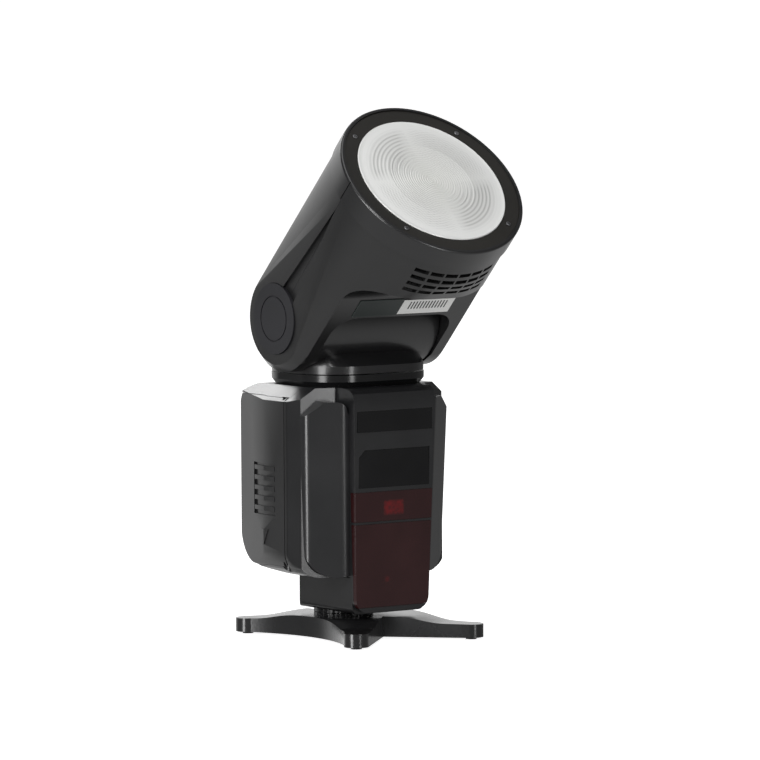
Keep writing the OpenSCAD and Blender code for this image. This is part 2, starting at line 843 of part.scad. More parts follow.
// Outline of the stand: four legs in a cross, waisted at the sides
module stand_plan() {
  front = touch([0, front_notch_y], front_tip, -1);
  rear = touch([0, rear_notch_y], rear_tip, 1);
  both_sides() {
    difference() {
      polygon([
        [0, front_notch_y], front, front_tip + tip_r * [0.95, 0.3],
        rear_tip + tip_r * [0.95, -0.3], rear, [0, rear_notch_y]]);
      translate([waist_x + waist_r, waist_y]) circle(r = waist_r, $fn = 180);
    }
    translate(front_tip) circle(r = tip_r, $fn = 48);
    translate(rear_tip) circle(r = tip_r, $fn = 48);
  }
}

// Height of the stand's top at a distance from its middle
function swell(d) = leg_z + (hub_z - leg_z) * (1 + cos(180 * min(1, max(0, (d - hub_r) / (swell_r - hub_r))))) / 2;

module stand_base() {
  color("#2a2a2c") difference() {
    union() {
      intersection() {
        translate([0, 0, pad_h]) linear_extrude(hub_z - pad_h) stand_plan();
        translate([0, hub_y, 0]) rotate_extrude($fn = 120)
          polygon(concat(
            [[0, 0], [70, 0], [70, leg_z - 0.5]],
            [for (i = [10 : -1 : 0]) [hub_r + (swell_r - hub_r) * i / 10, swell(hub_r + (swell_r - hub_r) * i / 10)]],
            [[0, hub_z]]));
      }
      cylinder(r = 7, h = 4);
    }
    // channel for the shoe, open at the back
    box([-shoe_w / 2 - 0.15, shoe_w / 2 + 0.15], [-shoe_l / 2 - 0.2, 40], [channel_z, lip_z]);
    box([-6.3, 6.3], [-shoe_l / 2 - 0.2, 40], [channel_z, 20]);
    // seat of the tripod insert
    translate([0, 0, -1]) cylinder(r = 4.05, h = 1 + channel_z - 0.9);
    // hollow undersides of the legs
    both_sides() {
      leg_pocket([11, -20], [front_tip[0] - 1, front_tip[1] + 1.5]);
      leg_pocket([13, 4], [rear_tip[0] - 2, rear_tip[1] - 1]);
      translate([front_tip[0], front_tip[1], 0]) cylinder(r = 2.2, h = pad_h + 1.5, $fn = 32);
      translate([rear_tip[0], rear_tip[1], 0]) cylinder(r = 2.2, h = pad_h + 1.5, $fn = 32);
    }
  }
}

// Long shallow hollow under a leg
module leg_pocket(a, b) {
  d = b - a;
  len = norm(d) - 7;
  translate([a[0], a[1], 0]) rotate([0, 0, atan2(d[1], d[0])])
    translate([0, -2.4, 0]) cube([len, 4.8, 3.4]);
}

module tripod_insert() {
  color("#b8953c") difference() {
    cylinder(r = 4, h = channel_z - 1);
    translate([0, 0, -1]) cylinder(r = thread_r, h = 10);
  }
}

module stand_feet() {
  color("#101010") both_sides() {
    translate([front_tip[0], front_tip[1], 0]) cylinder(r = 2.1, h = pad_h + 1.4, $fn = 32);
    translate([rear_tip[0], rear_tip[1], 0]) cylinder(r = 2.1, h = pad_h + 1.4, $fn = 32);
  }
}

head_upper_shell();
head_lower_shell();
front_ring();
lens_bezel();
fresnel_lens();
bezel_screws();
reflector();
flash_tube();
modelling_lamp();
magnet_ring();
trigger_coil();
pivot_cap_left();
pivot_cap_right();
rating_plate();
blank_sticker();
neck_housing();
tilt_axle();
detent_wheel();
detent_spring();
swivel_post();
swivel_retainer();
front_casing();
rear_casing();
foot_block();
swivel_collar();
name_plate();
front_window();
red_window_upper();
red_window_lower();
focus_lamp();
infrared_sensor();
main_board();
main_capacitor();
battery_pack();
battery_contacts();
case_screws();
socket_block();
control_panel();
display_bezel();
display_screen();
function_button_1();
function_button_2();
function_button_3();
function_button_4();
mode_button();
menu_button();
test_button();
set_button();
control_dial();
power_switch();
battery_door();
door_hinge_pin();
port_cover();
shoe_foot();
contact_pins();
lock_ring();
stand_base();
tripod_insert();
stand_feet();
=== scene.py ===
"""Looks for a round-headed speedlight flash on its small shoe stand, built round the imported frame."""

import json
import math

import bmesh
import bpy
from mathutils import Matrix, Vector


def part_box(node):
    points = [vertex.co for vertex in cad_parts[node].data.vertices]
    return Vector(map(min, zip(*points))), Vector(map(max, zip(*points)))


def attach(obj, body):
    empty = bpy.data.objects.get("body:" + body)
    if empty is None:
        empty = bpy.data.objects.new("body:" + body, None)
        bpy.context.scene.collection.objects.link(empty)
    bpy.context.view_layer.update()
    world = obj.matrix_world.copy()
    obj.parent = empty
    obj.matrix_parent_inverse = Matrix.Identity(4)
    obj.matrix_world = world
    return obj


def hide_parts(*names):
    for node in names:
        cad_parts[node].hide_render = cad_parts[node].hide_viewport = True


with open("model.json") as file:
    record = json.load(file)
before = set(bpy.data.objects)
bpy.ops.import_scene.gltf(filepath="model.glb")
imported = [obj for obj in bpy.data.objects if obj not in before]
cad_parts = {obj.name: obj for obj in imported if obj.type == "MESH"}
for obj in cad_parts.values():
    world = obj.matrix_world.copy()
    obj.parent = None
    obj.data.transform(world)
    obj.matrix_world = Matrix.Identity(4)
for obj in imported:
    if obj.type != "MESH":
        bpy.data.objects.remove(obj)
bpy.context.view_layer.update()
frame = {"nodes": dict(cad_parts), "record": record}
MM = 0.001


# ---------------------------------------------------------------- places taken from the frame

def joint(name):
    """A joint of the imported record."""
    return next(j for j in frame["record"]["behaviour"]["joints"] if j["name"] == name)


def middle(node):
    """Centre of a node's box."""
    low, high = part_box(node)
    return (low + high) / 2


def size(node):
    """Lengths of a node's box."""
    low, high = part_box(node)
    return high - low


HEAD_TURN = math.radians(45)
HEAD_PLACE = Matrix.Translation(Vector(joint("head_tilt")["pos_m"])) @ Matrix.Rotation(HEAD_TURN, 4, "X")


def along_lens(node, end):
    """Distance from the pivot to a head node's near (0) or far (1) end, along the lens axis."""
    back = HEAD_PLACE.inverted()
    reach = [(back @ v.co).z for v in frame["nodes"][node].data.vertices]
    return max(reach) if end else min(reach)


# ---------------------------------------------------------------- small tools

def deselect():
    """Leaves edit mode and selects nothing."""
    if bpy.context.object and bpy.context.object.mode != "OBJECT":
        bpy.ops.object.mode_set(mode="OBJECT")
    bpy.ops.object.select_all(action="DESELECT")


def choose(piece):
    """Makes one piece active and selected."""
    deselect()
    piece.select_set(True)
    bpy.context.view_layer.objects.active = piece


def apply_all(piece):
    """Applies every modifier in order."""
    choose(piece)
    for modifier in list(piece.modifiers):
        bpy.ops.object.modifier_apply(modifier=modifier.name)


def settle(piece, place=None):
    """Bakes the piece's place into its mesh, so that the object sits at the origin."""
    choose(piece)
    if place is not None:
        piece.data.transform(place @ piece.matrix_world)
    else:
        piece.data.transform(piece.matrix_world)
    piece.matrix_world = Matrix.Identity(4)
    piece.data.update()


def smooth(piece, degrees=32):
    """Smooth shading that keeps edges sharper than the angle."""
    choose(piece)
    bpy.ops.object.shade_smooth_by_angle(angle=math.radians(degrees))


def even_normals(piece):
    """Keeps large flat faces flat next to small rounded edges."""
    weighted = piece.modifiers.new("even", "WEIGHTED_NORMAL")
    weighted.keep_sharp = True
    weighted.weight = 60
    apply_all(piece)


def finish_piece(piece, body, material, replaces=()):
    """Gives the piece its material and hands it to a body."""
    piece.data.materials.clear()
    piece.data.materials.append(material)
    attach(piece, body)
    if replaces:
        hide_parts(*replaces)
    return piece


def paint(material, *nodes):
    """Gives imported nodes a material."""
    for node in nodes:
        piece = frame["nodes"][node]
        piece.data.materials.clear()
        piece.data.materials.append(material)


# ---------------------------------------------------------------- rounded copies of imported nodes

def sharp_edges(mesh, degrees):
    """Edges between two faces that meet at more than the angle."""
    limit = math.radians(degrees)
    return {e for e in mesh.edges if len(e.link_faces) == 2 and e.calc_face_angle(0) > limit}


def has_room(edge, sharp, width):
    """True if a round of this width fits beside the edge and at both of its ends."""
    for face in edge.link_faces:
        if face.calc_area() / max(edge.calc_length(), 1e-9) < 1.4 * width:
            return False
    for vertex in edge.verts:
        others = [e for e in vertex.link_edges if e in sharp and e is not edge]
        if not others:
            return False
        along = (edge.other_vert(vertex).co - vertex.co).normalized()
        for other in others:
            away = (other.other_vert(vertex).co - vertex.co).normalized()
            runs_on = along.dot(away) < -0.8
            if len(others) == 1 and runs_on:
                continue
            if min(edge.calc_length(), other.calc_length()) < 1.6 * width:
                return False
    return True


def merged_copy(node, name):
    """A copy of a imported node's mesh with its triangles joined."""
    source = frame["nodes"][node]
    piece = source.copy()
    piece.data = source.data.copy()
    piece.name = name
    for key in list(piece.keys()):
        del piece[key]
    bpy.context.scene.collection.objects.link(piece)
    piece.parent = None
    piece.matrix_world = Matrix.Identity(4)
    choose(piece)
    if piece.data.has_custom_normals:
        bpy.ops.mesh.customdata_custom_splitnormals_clear()
    bpy.ops.object.mode_set(mode="EDIT")
    bpy.ops.mesh.select_all(action="SELECT")
    bpy.ops.mesh.remove_doubles(threshold=2e-6)
    bpy.ops.mesh.dissolve_limited(angle_limit=math.radians(0.6))
    bpy.ops.object.mode_set(mode="OBJECT")
    return piece


def rounded(node, body, material, width, segments=3, degrees=28):
    """A copy of a node whose edges are rounded where there is room."""
    piece = merged_copy(node, node + "_finished")
    mesh = bmesh.new()
    mesh.from_mesh(piece.data)
    sharp = sharp_edges(mesh, degrees)
    layers = mesh.edges.layers.float
    weight = layers.get("bevel_weight_edge") or layers.new("bevel_weight_edge")
    for edge in mesh.edges:
        edge[weight] = 1.0 if edge in sharp and has_room(edge, sharp, width) else 0.0
    mesh.to_mesh(piece.data)
    mesh.free()
    bevel = piece.modifiers.new("round", "BEVEL")
    bevel.limit_method = "WEIGHT"
    bevel.width = width
    bevel.segments = segments
    bevel.use_clamp_overlap = False
    bevel.miter_outer = "MITER_ARC"
    apply_all(piece)
    smooth(piece)
    even_normals(piece)
    return finish_piece(piece, body, material, (node,))


# ---------------------------------------------------------------- shader tools

def sockets(group, inputs, outputs):
    """Makes a group's sockets from (name, kind, value) rows."""
    for name, kind, value in inputs:
        made = group.interface.new_socket(name, in_out="INPUT", socket_type=kind)
        if value is not None:
            made.default_value = value
    for name, kind in outputs:
        group.interface.new_socket(name, in_out="OUTPUT", socket_type=kind)


def node(tree, kind, **values):
    """A node with its settings; a value that names an input sets that input."""
    made = tree.nodes.new(kind)
    for key, value in values.items():
        if hasattr(made, key):
            setattr(made, key, value)
        else:
            made.inputs[key.replace("_", " ")].default_value = value
    return made


def moulded_grain():
    """Group: fine spark-eroded grain, with slow patches of gloss and handling marks."""
    group = bpy.data.node_groups.new("moulded_grain", "ShaderNodeTree")
    sockets(group,
            [("Vector", "NodeSocketVector", None), ("Grain", "NodeSocketFloat", 2600.0),
             ("Patch", "NodeSocketFloat", 28.0)],
            [("Height", "NodeSocketFloat"), ("Patches", "NodeSocketFloat")])
    start = node(group, "NodeGroupInput")
    end = node(group, "NodeGroupOutput")
    fine = node(group, "ShaderNodeTexNoise", Detail=2.0, Roughness=0.6)
    cells = node(group, "ShaderNodeTexVoronoi", feature="SMOOTH_F1")
    height = node(group, "ShaderNodeMix", data_type="FLOAT")
    height.inputs["Factor"].default_value = 0.4
    patch = node(group, "ShaderNodeTexNoise", Detail=3.0, Roughness=0.55)
    spread = node(group, "ShaderNodeMapRange")
    spread.inputs["From Min"].default_value = 0.35
    spread.inputs["From Max"].default_value = 0.68
    link = group.links.new
    for texture in (fine, cells, patch):
        link(start.outputs["Vector"], texture.inputs["Vector"])
    link(start.outputs["Grain"], fine.inputs["Scale"])
    link(start.outputs["Grain"], cells.inputs["Scale"])
    link(start.outputs["Patch"], patch.inputs["Scale"])
    link(fine.outputs["Fac"], height.inputs["A"])
    link(cells.outputs["Distance"], height.inputs["B"])
    link(patch.outputs["Fac"], spread.inputs["Value"])
    link(height.outputs["Result"], end.inputs["Height"])
    link(spread.outputs["Result"], end.inputs["Patches"])
    return group


def rings_round_axis():
    """Group: a 0 to 1 ripple by distance from a point, in the coordinates it is given."""
    group = bpy.data.node_groups.new("rings_round_axis", "ShaderNodeTree")
    sockets(group,
            [("Vector", "NodeSocketVector", None), ("Centre", "NodeSocketVector", (0, 0, 0)),
             ("Pitch", "NodeSocketFloat", 0.001)],
            [("Ripple", "NodeSocketFloat"), ("Distance", "NodeSocketFloat")])
    start = node(group, "NodeGroupInput")
    end = node(group, "NodeGroupOutput")
    offset = node(group, "ShaderNodeVectorMath", operation="SUBTRACT")
    length = node(group, "ShaderNodeVectorMath", operation="LENGTH")
    turns = node(group, "ShaderNodeMath", operation="DIVIDE")
    ripple = node(group, "ShaderNodeMath", operation="PINGPONG")
    ripple.inputs[1].default_value = 1.0
    link = group.links.new
    link(start.outputs["Vector"], offset.inputs[0])
    link(start.outputs["Centre"], offset.inputs[1])
    link(offset.outputs["Vector"], length.inputs[0])
    link(length.outputs["Value"], turns.inputs[0])
    link(start.outputs["Pitch"], turns.inputs[1])
    link(turns.outputs["Value"], ripple.inputs[0])
    link(ripple.outputs["Value"], end.inputs["Ripple"])
    link(length.outputs["Value"], end.inputs["Distance"])
    return group


GRAIN = moulded_grain()
RINGS = rings_round_axis()


def new_material(name):
    """An empty node material: its tree, its Principled shader and its object coordinates."""
    material = bpy.data.materials.new(name)
    material.use_nodes = True
    tree = material.node_tree
    shader = tree.nodes["Principled BSDF"]
    place = node(tree, "ShaderNodeTexCoord")
    return material, tree, shader, place.outputs["Object"]


def blend_colours(tree, mask, first, second):
    """Colour that runs from first to second by a mask."""
    mix = node(tree, "ShaderNodeMix", data_type="RGBA")
    mix.inputs["A"].default_value = (*first, 1)
    mix.inputs["B"].default_value = (*second, 1)
    tree.links.new(mask, mix.inputs["Factor"])
    return mix.outputs["Result"]


def span(tree, mask, low, high):
    """Value that runs from low to high by a mask."""
    ramp = node(tree, "ShaderNodeMapRange")
    ramp.inputs["To Min"].default_value = low
    ramp.inputs["To Max"].default_value = high
    tree.links.new(mask, ramp.inputs["Value"])
    return ramp.outputs["Result"]


def combine(tree, operation, first, second):
    """One maths node on two sockets."""
    made = node(tree, "ShaderNodeMath", operation=operation)
    tree.links.new(first, made.inputs[0])
    tree.links.new(second, made.inputs[1])
    return made.outputs["Value"]


def between(tree, value, low, high):
    """0 at one value and 1 at the other, held outside them."""
    made = node(tree, "ShaderNodeMapRange")
    made.inputs["From Min"].default_value = low
    made.inputs["From Max"].default_value = high
    tree.links.new(value, made.inputs["Value"])
    return made.outputs["Result"]


def raise_bump(tree, height, shader, depth, strength=1.0):
    """Feeds a height to the shader's normal."""
    bump = node(tree, "ShaderNodeBump")
    bump.inputs["Strength"].default_value = strength
    bump.inputs["Distance"].default_value = depth
    tree.links.new(height, bump.inputs["Height"])
    tree.links.new(bump.outputs["Normal"], shader.inputs["Normal"])
    return bump


def plastic(name, dark, light, rough, grain=2600.0, depth=0.00002, patch=28.0, coat=0.0, coat_rough=0.1):
    """Moulded plastic: two close tones, a range of roughness, and grain."""
    material, tree, shader, place = new_material(name)
    grains = node(tree, "ShaderNodeGroup", node_tree=GRAIN)
    grains.inputs["Grain"].default_value = grain
    grains.inputs["Patch"].default_value = patch
    tree.links.new(place, grains.inputs["Vector"])
    tree.links.new(blend_colours(tree, grains.outputs["Patches"], dark, light), shader.inputs["Base Color"])
    tree.links.new(span(tree, grains.outputs["Patches"], *rough), shader.inputs["Roughness"])
    raise_bump(tree, grains.outputs["Height"], shader, depth)
    shader.inputs["Coat Weight"].default_value = coat
    shader.inputs["Coat Roughness"].default_value = coat_rough
    return material


def metal(name, dark, light, rough, grain=900.0, depth=0.000008):
    """Machined or pressed metal with a fine uneven finish."""
    material = plastic(name, dark, light, rough, grain, depth, patch=60.0)
    material.node_tree.nodes["Principled BSDF"].inputs["Metallic"].default_value = 1.0
    return material


# ---------------------------------------------------------------- materials

SATIN = plastic("satin_black", (0.0095, 0.0095, 0.0102), (0.0125, 0.0125, 0.0132), (0.30, 0.40), 2400.0,
                0.000022, coat=0.5, coat_rough=0.14)
SHELL = plastic("shell_black", (0.0110, 0.0110, 0.0115), (0.0145, 0.0145, 0.0150), (0.32, 0.42), 2200.0,
                0.000022, coat=0.4, coat_rough=0.16)
GRIP = plastic("grip_black", (0.0110, 0.0112, 0.0122), (0.0150, 0.0152, 0.0165), (0.30, 0.38), 1500.0,
               0.00004, coat=0.5, coat_rough=0.16)
GLOSS = plastic("gloss_black", (0.006, 0.006, 0.0065), (0.009, 0.009, 0.0095), (0.14, 0.22), 3000.0,
                0.000006)
COLLAR = plastic("collar_black", (0.007, 0.007, 0.0075), (0.012, 0.012, 0.0125), (0.16, 0.27), 1800.0,
                 0.00001)
BEZEL = plastic("bezel_black", (0.010, 0.0090, 0.0070), (0.014, 0.0125, 0.0100), (0.42, 0.52), 3000.0,
                0.00002)
STAND = plastic("stand_black", (0.012, 0.012, 0.0125), (0.018, 0.018, 0.019), (0.22, 0.31), 1250.0,
                0.00007, coat=0.6, coat_rough=0.12)
RUBBER = plastic("rubber_black", (0.010, 0.010, 0.010), (0.016, 0.016, 0.016), (0.6, 0.75), 2000.0, 0.00003)
KEYS = plastic("key_grey", (0.030, 0.030, 0.033), (0.042, 0.042, 0.046), (0.5, 0.62), 2600.0, 0.00002)
DIAL = plastic("dial_black", (0.011, 0.011, 0.012), (0.017, 0.017, 0.018), (0.3, 0.4), 2400.0, 0.00002)
STEEL = metal("steel", (0.50, 0.50, 0.51), (0.62, 0.62, 0.63), (0.24, 0.36))
DARK_STEEL = metal("dark_steel", (0.20, 0.20, 0.21), (0.30, 0.30, 0.31), (0.28, 0.4))
BRASS = metal("brass", (0.60, 0.46, 0.20), (0.72, 0.56, 0.27), (0.25, 0.38))
COPPER = plastic("copper_winding", (0.30, 0.13, 0.05), (0.42, 0.20, 0.08), (0.25, 0.4), 1800.0, 0.00005)
MIRROR = metal("reflector_metal", (0.86, 0.86, 0.87), (0.93, 0.93, 0.93), (0.08, 0.16), 400.0, 0.00003)
GREEN = plastic("circuit_green", (0.02, 0.12, 0.05), (0.03, 0.17, 0.07), (0.3, 0.45))
BLUE = plastic("capacitor_blue", (0.03, 0.05, 0.18), (0.04, 0.07, 0.24), (0.2, 0.3))
CELL = plastic("battery_grey", (0.035, 0.035, 0.038), (0.05, 0.05, 0.055), (0.4, 0.5))
LAMP = plastic("lamp_yellow", (0.80, 0.70, 0.28), (0.88, 0.80, 0.36), (0.3, 0.4))
RED_LENS = plastic("lamp_red", (0.35, 0.02, 0.02), (0.50, 0.03, 0.03), (0.15, 0.25))
SENSOR = plastic("sensor_dark", (0.05, 0.01, 0.012), (0.08, 0.015, 0.02), (0.1, 0.2))
PIVOT = plastic("pivot_black", (0.013, 0.013, 0.0158), (0.018, 0.018, 0.0215), (0.42, 0.5), 2400.0, 0.00002)


def tube_material():
    """Clear glass of the flash tube with slight streaks."""
    material, tree, shader, place = new_material("tube_glass")
    streaks = node(tree, "ShaderNodeTexNoise", Scale=300.0)
    tree.links.new(place, streaks.inputs["Vector"])
    tree.links.new(span(tree, streaks.outputs["Fac"], 0.02, 0.08), shader.inputs["Roughness"])
    shader.inputs["Base Color"].default_value = (0.93, 0.95, 0.97, 1)
    shader.inputs["Transmission Weight"].default_value = 0.85
    return material


def box_mask(tree, place, centre, half, soft):
    """1 inside a box of x and z, falling to 0 over a soft border."""
    shifted = node(tree, "ShaderNodeVectorMath", operation="SUBTRACT")
    shifted.inputs[1].default_value = centre
    tree.links.new(place, shifted.inputs[0])
    parts = node(tree, "ShaderNodeSeparateXYZ")
    tree.links.new(shifted.outputs["Vector"], parts.inputs["Vector"])
    masks = []
    for axis, reach in (("X", half[0]), ("Z", half[1])):
        size_of = node(tree, "ShaderNodeMath", operation="ABSOLUTE")
        tree.links.new(parts.outputs[axis], size_of.inputs[0])
        edge = node(tree, "ShaderNodeMapRange", interpolation_type="SMOOTHSTEP")
        edge.inputs["From Min"].default_value = reach + soft
        edge.inputs["From Max"].default_value = reach - soft
        tree.links.new(size_of.outputs["Value"], edge.inputs["Value"])
        masks.append(edge.outputs["Result"])
    both = node(tree, "ShaderNodeMath", operation="MULTIPLY")
    tree.links.new(masks[0], both.inputs[0])
    tree.links.new(masks[1], both.inputs[1])
    return both.outputs["Value"]


def red_window_material():
    """Dark red window; the focus lamp and the sensor behind it show as brighter, uneven patches."""
    material, tree, shader, place = new_material("red_window")
    grains = node(tree, "ShaderNodeGroup", node_tree=GRAIN)
    grains.inputs["Patch"].default_value = 45.0
    tree.links.new(place, grains.inputs["Vector"])
    body = blend_colours(tree, grains.outputs["Patches"], (0.026, 0.0042, 0.0048), (0.034, 0.0062, 0.0068))
    lamp = box_mask(tree, place, middle("focus_lamp"), (4.5 * MM, 2.6 * MM), 0.7 * MM)
    facets = node(tree, "ShaderNodeTexVoronoi", Scale=620.0, distance="CHEBYCHEV")
    tree.links.new(place, facets.inputs["Vector"])
    uneven = span(tree, facets.outputs["Distance"], 0.25, 1.0)
    shown = node(tree, "ShaderNodeMath", operation="MULTIPLY")
    tree.links.new(lamp, shown.inputs[0])
    tree.links.new(uneven, shown.inputs[1])
    sensor = box_mask(tree, place, middle("infrared_sensor"), (0.9 * MM, 0.9 * MM), 0.8 * MM)
    faint = node(tree, "ShaderNodeMath", operation="MULTIPLY")
    faint.inputs[1].default_value = 0.28
    tree.links.new(sensor, faint.inputs[0])
    total = node(tree, "ShaderNodeMath", operation="MAXIMUM")
    tree.links.new(shown.outputs["Value"], total.inputs[0])
    tree.links.new(faint.outputs["Value"], total.inputs[1])
    mix = node(tree, "ShaderNodeMix", data_type="RGBA")
    mix.inputs["B"].default_value = (0.17, 0.004, 0.006, 1)
    tree.links.new(total.outputs["Value"], mix.inputs["Factor"])
    tree.links.new(body, mix.inputs["A"])
    tree.links.new(mix.outputs["Result"], shader.inputs["Base Color"])
    tree.links.new(span(tree, grains.outputs["Patches"], 0.16, 0.24), shader.inputs["Roughness"])
    shader.inputs["Coat Weight"].default_value = 0.3
    shader.inputs["Coat Roughness"].default_value = 0.08
    return material


def lens_material():
    """Frosted clear plastic: rings round the axis in two quarters, finer ripples in the other two."""
    material, tree, shader, place = new_material("lens_frosted")
    turn = node(tree, "ShaderNodeMapping", vector_type="POINT")
    flat = HEAD_PLACE.inverted()
    turn.inputs["Location"].default_value = flat.to_translation()
    turn.inputs["Rotation"].default_value = flat.to_euler()
    tree.links.new(place, turn.inputs["Vector"])
    flatten = node(tree, "ShaderNodeVectorMath", operation="MULTIPLY")
    flatten.inputs[1].default_value = (1, 1, 0)
    tree.links.new(turn.outputs["Vector"], flatten.inputs[0])
    flat_place = flatten.outputs["Vector"]
    main = node(tree, "ShaderNodeGroup", node_tree=RINGS)
    main.inputs["Pitch"].default_value = 0.78 * MM
    tree.links.new(flat_place, main.inputs["Vector"])
    fine = None
    for i in range(4):
        turn_to = math.radians(45 + 90 * i)
        rings = node(tree, "ShaderNodeGroup", node_tree=RINGS)
        rings.inputs["Centre"].default_value = (12 * MM * math.cos(turn_to), 12 * MM * math.sin(turn_to), 0)
        rings.inputs["Pitch"].default_value = 0.6 * MM
        tree.links.new(flat_place, rings.inputs["Vector"])
        ripple = rings.outputs["Ripple"]
        fine = ripple if fine is None else combine(tree, "ADD", fine, ripple)
    fine = between(tree, fine, 1.4, 3.6)
    parts = node(tree, "ShaderNodeSeparateXYZ")
    tree.links.new(flat_place, parts.inputs["Vector"])
    across = combine(tree, "MULTIPLY", parts.outputs["X"], parts.outputs["Y"])
    sector = between(tree, across, 0.0, -0.00011)
    opposite = between(tree, across, -0.00002, 0.00012)
    far = between(tree, main.outputs["Distance"], 5 * MM, 11 * MM)
    near = between(tree, main.outputs["Distance"], 27.5 * MM, 24 * MM)
    band = combine(tree, "MULTIPLY", far, near)
    strong = combine(tree, "MULTIPLY", main.outputs["Ripple"], combine(tree, "MULTIPLY", sector, band))
    faint = combine(tree, "MULTIPLY", fine, combine(tree, "MULTIPLY", opposite, band))
    weak = node(tree, "ShaderNodeMath", operation="MULTIPLY")
    weak.inputs[1].default_value = 0.75
    tree.links.new(faint, weak.inputs[0])
    shown = combine(tree, "MAXIMUM", strong, weak.outputs["Value"])
    rim = between(tree, main.outputs["Distance"], 4 * MM, 27 * MM)
    ground = blend_colours(tree, rim, (0.74, 0.745, 0.715), (0.86, 0.865, 0.85))
    mix = node(tree, "ShaderNodeMix", data_type="RGBA")
    mix.inputs["B"].default_value = (0.50, 0.50, 0.49, 1)
    tree.links.new(shown, mix.inputs["Factor"])
    tree.links.new(ground, mix.inputs["A"])
    tree.links.new(mix.outputs["Result"], shader.inputs["Base Color"])
    tree.links.new(span(tree, shown, 0.22, 0.42), shader.inputs["Roughness"])
    raise_bump(tree, shown, shader, 0.00008, 0.6)
    shader.inputs["Coat Weight"].default_value = 0.4
    shader.inputs["Coat Roughness"].default_value = 0.06
    return material


def film_material(name, ground, line, low, high, stripes):
    """Printed film: a plain ground with a thin border, and plain even bars if asked."""
    material, tree, shader, place = new_material(name)
    turn = node(tree, "ShaderNodeMapping", vector_type="POINT")
    flat = HEAD_PLACE.inverted()
    turn.inputs["Location"].default_value = flat.to_translation()
    turn.inputs["Rotation"].default_value = flat.to_euler()
    tree.links.new(place, turn.inputs["Vector"])
    parts = node(tree, "ShaderNodeSeparateXYZ")
    tree.links.new(turn.outputs["Vector"], parts.inputs["Vector"])
    centre = ((low[0] + high[0]) / 2, (low[1] + high[1]) / 2)
    half = ((high[0] - low[0]) / 2, (high[1] - low[1]) / 2)
    masks = []
    for axis, where, reach in (("X", centre[0], half[0]), ("Z", centre[1], half[1])):
        shift = node(tree, "ShaderNodeMath", operation="SUBTRACT")
        shift.inputs[1].default_value = where
        tree.links.new(parts.outputs[axis], shift.inputs[0])
        size_of = node(tree, "ShaderNodeMath", operation="ABSOLUTE")
        tree.links.new(shift.outputs["Value"], size_of.inputs[0])
        past = node(tree, "ShaderNodeMath", operation="COMPARE")
        past.inputs[1].default_value = reach
        past.inputs[2].default_value = 0.16 * MM
        tree.links.new(size_of.outputs["Value"], past.inputs[0])
        masks.append(past.outputs["Value"])
    marks = node(tree, "ShaderNodeMath", operation="MAXIMUM")
    tree.links.new(masks[0], marks.inputs[0])
    tree.links.new(masks[1], marks.inputs[1])
    mask = marks.outputs["Value"]
    if stripes:
        wave = node(tree, "ShaderNodeMath", operation="PINGPONG")
        wave.inputs[1].default_value = 0.7 * MM
        tree.links.new(parts.outputs["X"], wave.inputs[0])
        dark = node(tree, "ShaderNodeMath", operation="GREATER_THAN")
        dark.inputs[1].default_value = 0.38 * MM
        tree.links.new(wave.outputs["Value"], dark.inputs[0])
        inside = film_window(tree, parts, centre, half)
        bars = node(tree, "ShaderNodeMath", operation="MULTIPLY")
        tree.links.new(dark.outputs["Value"], bars.inputs[0])
        tree.links.new(inside, bars.inputs[1])
        every = node(tree, "ShaderNodeMath", operation="MAXIMUM")
        tree.links.new(mask, every.inputs[0])
        tree.links.new(bars.outputs["Value"], every.inputs[1])
        mask = every.outputs["Value"]
    tree.links.new(blend_colours(tree, mask, ground, line), shader.inputs["Base Color"])
    grains = node(tree, "ShaderNodeGroup", node_tree=GRAIN)
    tree.links.new(place, grains.inputs["Vector"])
    tree.links.new(span(tree, grains.outputs["Patches"], 0.32, 0.45), shader.inputs["Roughness"])
    return material


def film_window(tree, parts, centre, half):
    """1 inside the printed block of a film: most of its width, its upper part."""
    result = None
    for axis, where, reach in (("X", centre[0], half[0] * 0.74),
                               ("Z", centre[1] + half[1] * 0.2, half[1] * 0.5)):
        shift = node(tree, "ShaderNodeMath", operation="SUBTRACT")
        shift.inputs[1].default_value = where
        tree.links.new(parts.outputs[axis], shift.inputs[0])
        size_of = node(tree, "ShaderNodeMath", operation="ABSOLUTE")
        tree.links.new(shift.outputs["Value"], size_of.inputs[0])
        inside = node(tree, "ShaderNodeMath", operation="LESS_THAN")
        inside.inputs[1].default_value = reach
        tree.links.new(size_of.outputs["Value"], inside.inputs[0])
        if result is None:
            result = inside.outputs["Value"]
        else:
            both = node(tree, "ShaderNodeMath", operation="MULTIPLY")
            tree.links.new(result, both.inputs[0])
            tree.links.new(inside.outputs["Value"], both.inputs[1])
            result = both.outputs["Value"]
    return result


def screen_material():
    """Unlit display: grey-green with a faint grid of dots."""
    material, tree, shader, place = new_material("screen_grey")
    dots = node(tree, "ShaderNodeTexVoronoi", Scale=1400.0, Randomness=0.0)
    tree.links.new(place, dots.inputs["Vector"])
    tree.links.new(blend_colours(tree, dots.outputs["Distance"], (0.085, 0.10, 0.078), (0.11, 0.13, 0.10)),
                   shader.inputs["Base Color"])
    tree.links.new(span(tree, dots.outputs["Distance"], 0.08, 0.14), shader.inputs["Roughness"])
    shader.inputs["Coat Weight"].default_value = 0.5
    return material


def head_span(name):
    """Lowest and highest (x, l) of a head node in the head's own frame."""
    back = HEAD_PLACE.inverted()
    points = [back @ v.co for v in frame["nodes"][name].data.vertices]
    low = (min(p.x for p in points), min(p.z for p in points))
    high = (max(p.x for p in points), max(p.z for p in points))
    return low, high


